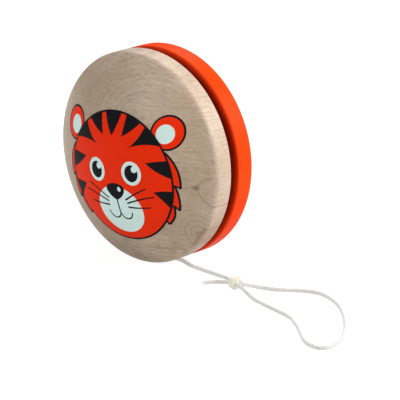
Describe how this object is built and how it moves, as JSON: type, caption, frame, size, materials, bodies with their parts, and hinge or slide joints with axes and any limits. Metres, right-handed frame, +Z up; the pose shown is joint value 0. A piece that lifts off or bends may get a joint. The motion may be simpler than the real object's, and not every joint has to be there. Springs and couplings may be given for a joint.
{
  "type": "yo-yo",
  "caption": "Turned wooden yo-yo: a natural and an orange-red domed half on one dowel, wound with white string that ends in a knotted finger loop.",
  "frame": {"origin": "on the surface it stands on, midway between the halves, straight below the axle", "axes": "+Z up, +Y along the axle from the natural wood half to the painted half, +X towards the finger loop"},
  "size_m": [0.106, 0.0408, 0.056],
  "materials": {
    "natural_wood": "pale maple, clear satin varnish",
    "painted_wood": "orange-red satin paint over wood",
    "dowel_wood": "bare birch dowel",
    "string": "twisted white cotton",
    "print_red": "orange-red printing ink",
    "print_black": "black printing ink",
    "print_white": "white printing ink"
  },
  "bodies": {
    "string": {"axle_loop": "string", "string_winding": "string", "string_lead": "string", "loop_knot": "string", "finger_loop": "string", "string_tail": "string"},
    "yoyo": {"front_half": "natural_wood", "back_half": "painted_wood", "axle": "dowel_wood"}
  },
  "joints": [
    {"name": "spin", "type": "hinge", "parent": "string", "child": "yoyo", "pos_m": [0, 0, 0.028], "axis": [0, 1, 0], "continuous": true}
  ]
}
